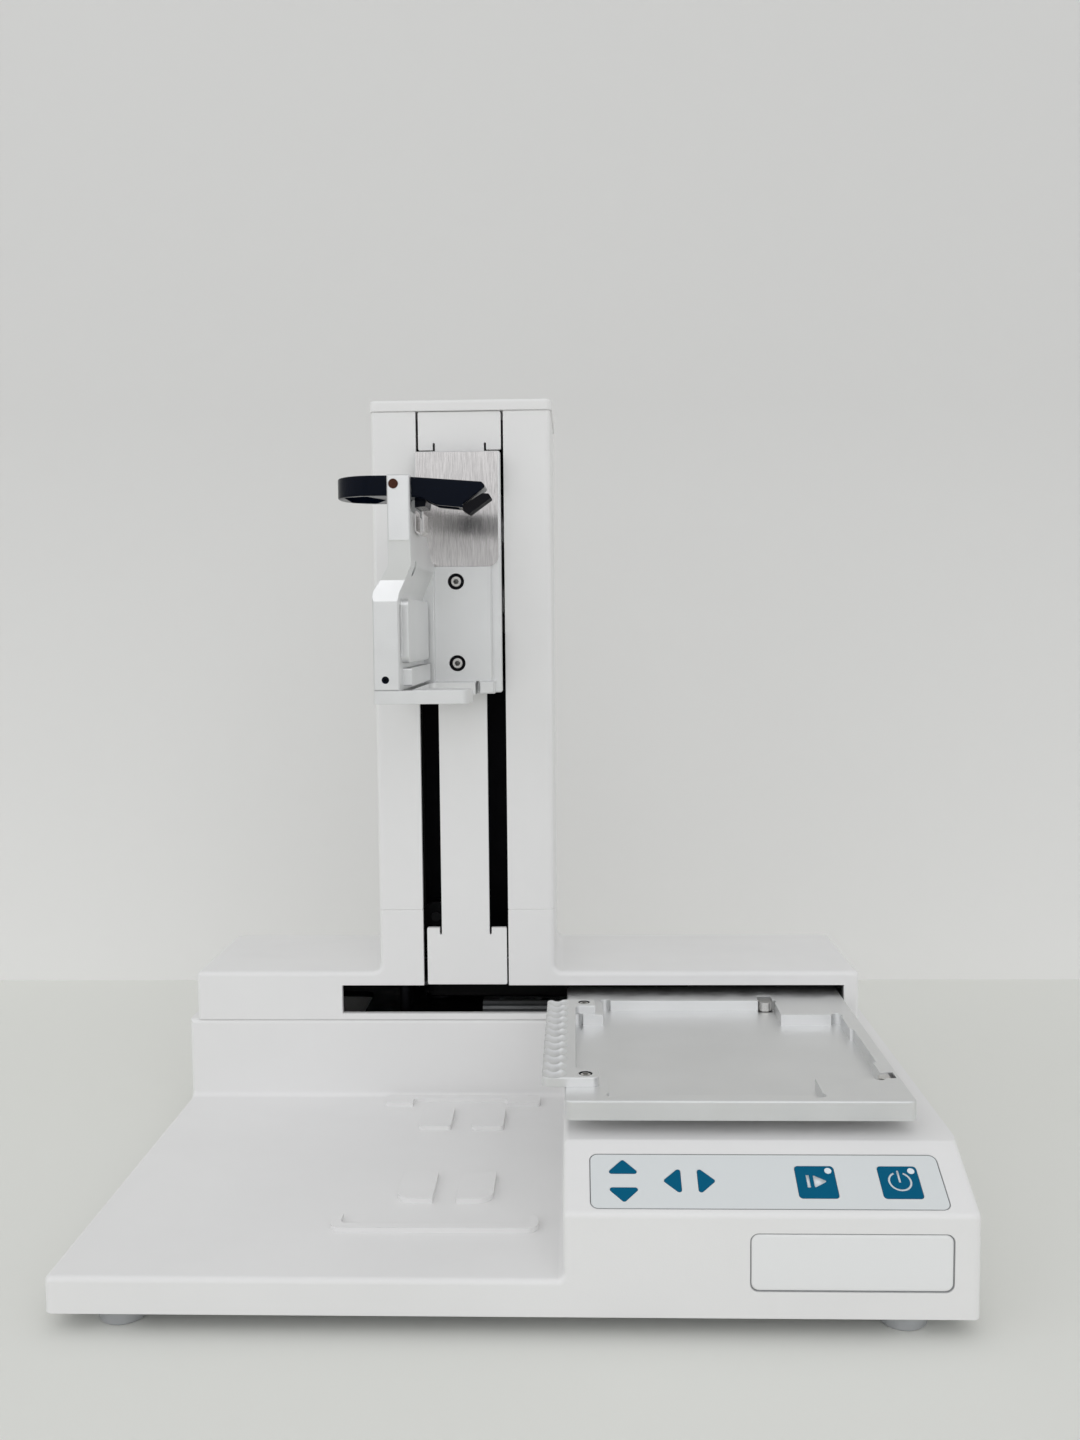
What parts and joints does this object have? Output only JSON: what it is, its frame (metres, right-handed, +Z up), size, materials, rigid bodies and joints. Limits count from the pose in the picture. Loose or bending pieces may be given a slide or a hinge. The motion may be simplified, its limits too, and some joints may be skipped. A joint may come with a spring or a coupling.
{
  "type": "liquid handling robot",
  "caption": "Bench liquid handler: low white base with a keypad console, a tray that slides sideways, and a tower that lifts a forked pipette holder with a clip lever.",
  "frame": {"origin": "on the table under the middle of the base", "axes": "+X to the operator's right, +Y to the back, +Z up"},
  "size_m": [0.35, 0.2648, 0.3785],
  "materials": {
    "white_casing": "fine satin moulding",
    "silver_aluminium": "bead blasted and clear anodised",
    "brushed_stainless": "brushed upright",
    "screw_steel": "turned, plain",
    "black_lever": "semi gloss black",
    "soft_black": "soft matt black",
    "grey_foot": "matt grey rubber",
    "black_aluminium": "black anodised",
    "black_sheet": "matt black sheet",
    "zinc_steel": "zinc plated sheet",
    "guide_steel": "ground steel",
    "motor_black": "black laminated body",
    "pulley_metal": "machined aluminium",
    "belt_rubber": "toothed belt",
    "copper_pin": "brown bronze",
    "overlay_film": "pale blue white printed film",
    "teal_key": "teal printed film",
    "light_window": "clear window over a lamp",
    "board_green": "solder mask",
    "socket_black": "moulded black",
    "badge_film": "bare pale plate"
  },
  "bodies": {
    "base": {"base_shell": "white_casing", "rear_housing": "white_casing", "tower_cover": "white_casing", "tower_cap": "white_casing", "front_strip": "white_casing", "foot_screws": "screw_steel", "feet": "grey_foot", "tower_frame": "black_aluminium", "chassis_plate": "black_aluminium", "tower_liner": "black_sheet", "slot_liner": "black_sheet", "bottom_plate": "zinc_steel", "strip_brackets": "zinc_steel", "chassis_posts": "zinc_steel", "x_rail": "guide_steel", "z_rail": "guide_steel", "idler_pins": "guide_steel", "x_motor": "motor_black", "z_motor": "motor_black", "x_belt": "belt_rubber", "z_belt": "belt_rubber", "keypad_membrane": "overlay_film", "keypad_board": "board_green", "control_board": "board_green", "power_inlet": "socket_black", "front_badge": "badge_film"},
    "tray": {"plate_tray": "silver_aluminium", "tip_comb": "silver_aluminium", "tray_screws": "screw_steel", "x_bearing": "guide_steel", "x_belt_clamp": "guide_steel"},
    "rear_latch": {"rear_latch": "screw_steel"},
    "side_latch": {"side_latch": "screw_steel"},
    "z_carriage": {"z_bearing": "guide_steel", "z_belt_clamp": "guide_steel", "carriage_yoke": "silver_aluminium", "carriage_plate": "silver_aluminium", "wear_plate": "brushed_stainless", "holder_bracket": "silver_aluminium", "bracket_screws": "screw_steel", "holder_arm": "silver_aluminium", "pivot_pin": "copper_pin", "set_screw": "screw_steel", "fork_shelf": "silver_aluminium", "stop_block": "silver_aluminium", "clip_spring": "brushed_stainless"},
    "clip": {"clip_lever": "black_lever", "clip_pad": "soft_black"},
    "x_drive": {"x_drive_pulley": "pulley_metal"},
    "x_idler": {"x_idler_pulley": "pulley_metal"},
    "z_drive": {"z_drive_pulley": "pulley_metal"},
    "z_idler": {"z_idler_pulley": "pulley_metal"},
    "key_up": {"key_up": "teal_key"},
    "key_down": {"key_down": "teal_key"},
    "key_left": {"key_left": "teal_key"},
    "key_right": {"key_right": "teal_key"},
    "key_run": {"key_run": "teal_key", "run_lens": "light_window"},
    "key_power": {"key_power": "teal_key", "power_lens": "light_window"}
  },
  "joints": [
    {"name": "tray_slide", "type": "slide", "parent": "base", "child": "tray", "axis": [1, 0, 0], "range_m": [-0.114, 0]},
    {"name": "lift_slide", "type": "slide", "parent": "base", "child": "z_carriage", "axis": [0, 0, 1], "range_m": [-0.115, 0]},
    {"name": "clip_pivot", "type": "hinge", "parent": "z_carriage", "child": "clip", "pos_m": [-0.0492, -0.028, 0.3253], "axis": [0, 1, 0], "range_deg": [-32, 0], "stiffness_Nm_per_rad": 0.08, "springref_deg": 8.59},
    {"name": "rear_latch_slide", "type": "slide", "parent": "tray", "child": "rear_latch", "axis": [0, 1, 0], "range_m": [0, 0.0014], "stiffness_N_per_m": 800, "springref_m": -0.002},
    {"name": "side_latch_slide", "type": "slide", "parent": "tray", "child": "side_latch", "axis": [1, 0, 0], "range_m": [0, 0.0014], "stiffness_N_per_m": 800, "springref_m": -0.002},
    {"name": "x_drive_spin", "type": "hinge", "parent": "base", "child": "x_drive", "pos_m": [-0.05, 0.108, 0.064], "axis": [0, 0, 1], "range_deg": [-1030, 5]},
    {"name": "x_idler_spin", "type": "hinge", "parent": "base", "child": "x_idler", "pos_m": [0.155, 0.108, 0.064], "axis": [0, 0, 1], "range_deg": [-1030, 5]},
    {"name": "z_drive_spin", "type": "hinge", "parent": "base", "child": "z_drive", "pos_m": [-0.05, 0.094, 0.108], "axis": [0, 1, 0], "range_deg": [-5, 1040]},
    {"name": "z_idler_spin", "type": "hinge", "parent": "base", "child": "z_idler", "pos_m": [-0.05, 0.094, 0.346], "axis": [0, 1, 0], "range_deg": [-5, 1040]},
    {"name": "key_up_press", "type": "slide", "parent": "base", "child": "key_up", "axis": [0, 0.4324, -0.9017], "range_m": [0, 0.0005], "stiffness_N_per_m": 700, "springref_m": -0.0008},
    {"name": "key_down_press", "type": "slide", "parent": "base", "child": "key_down", "axis": [0, 0.4324, -0.9017], "range_m": [0, 0.0005], "stiffness_N_per_m": 700, "springref_m": -0.0008},
    {"name": "key_left_press", "type": "slide", "parent": "base", "child": "key_left", "axis": [0, 0.4324, -0.9017], "range_m": [0, 0.0005], "stiffness_N_per_m": 700, "springref_m": -0.0008},
    {"name": "key_right_press", "type": "slide", "parent": "base", "child": "key_right", "axis": [0, 0.4324, -0.9017], "range_m": [0, 0.0005], "stiffness_N_per_m": 700, "springref_m": -0.0008},
    {"name": "key_run_press", "type": "slide", "parent": "base", "child": "key_run", "axis": [0, 0.4324, -0.9017], "range_m": [0, 0.0005], "stiffness_N_per_m": 700, "springref_m": -0.0008},
    {"name": "key_power_press", "type": "slide", "parent": "base", "child": "key_power", "axis": [0, 0.4324, -0.9017], "range_m": [0, 0.0005], "stiffness_N_per_m": 700, "springref_m": -0.0008}
  ],
  "couplings": [
    {"joint": "x_drive_spin", "follows": "tray_slide", "rad_per_m": 156.99},
    {"joint": "x_idler_spin", "follows": "tray_slide", "rad_per_m": 156.99},
    {"joint": "z_drive_spin", "follows": "lift_slide", "rad_per_m": -156.99},
    {"joint": "z_idler_spin", "follows": "lift_slide", "rad_per_m": -156.99}
  ]
}
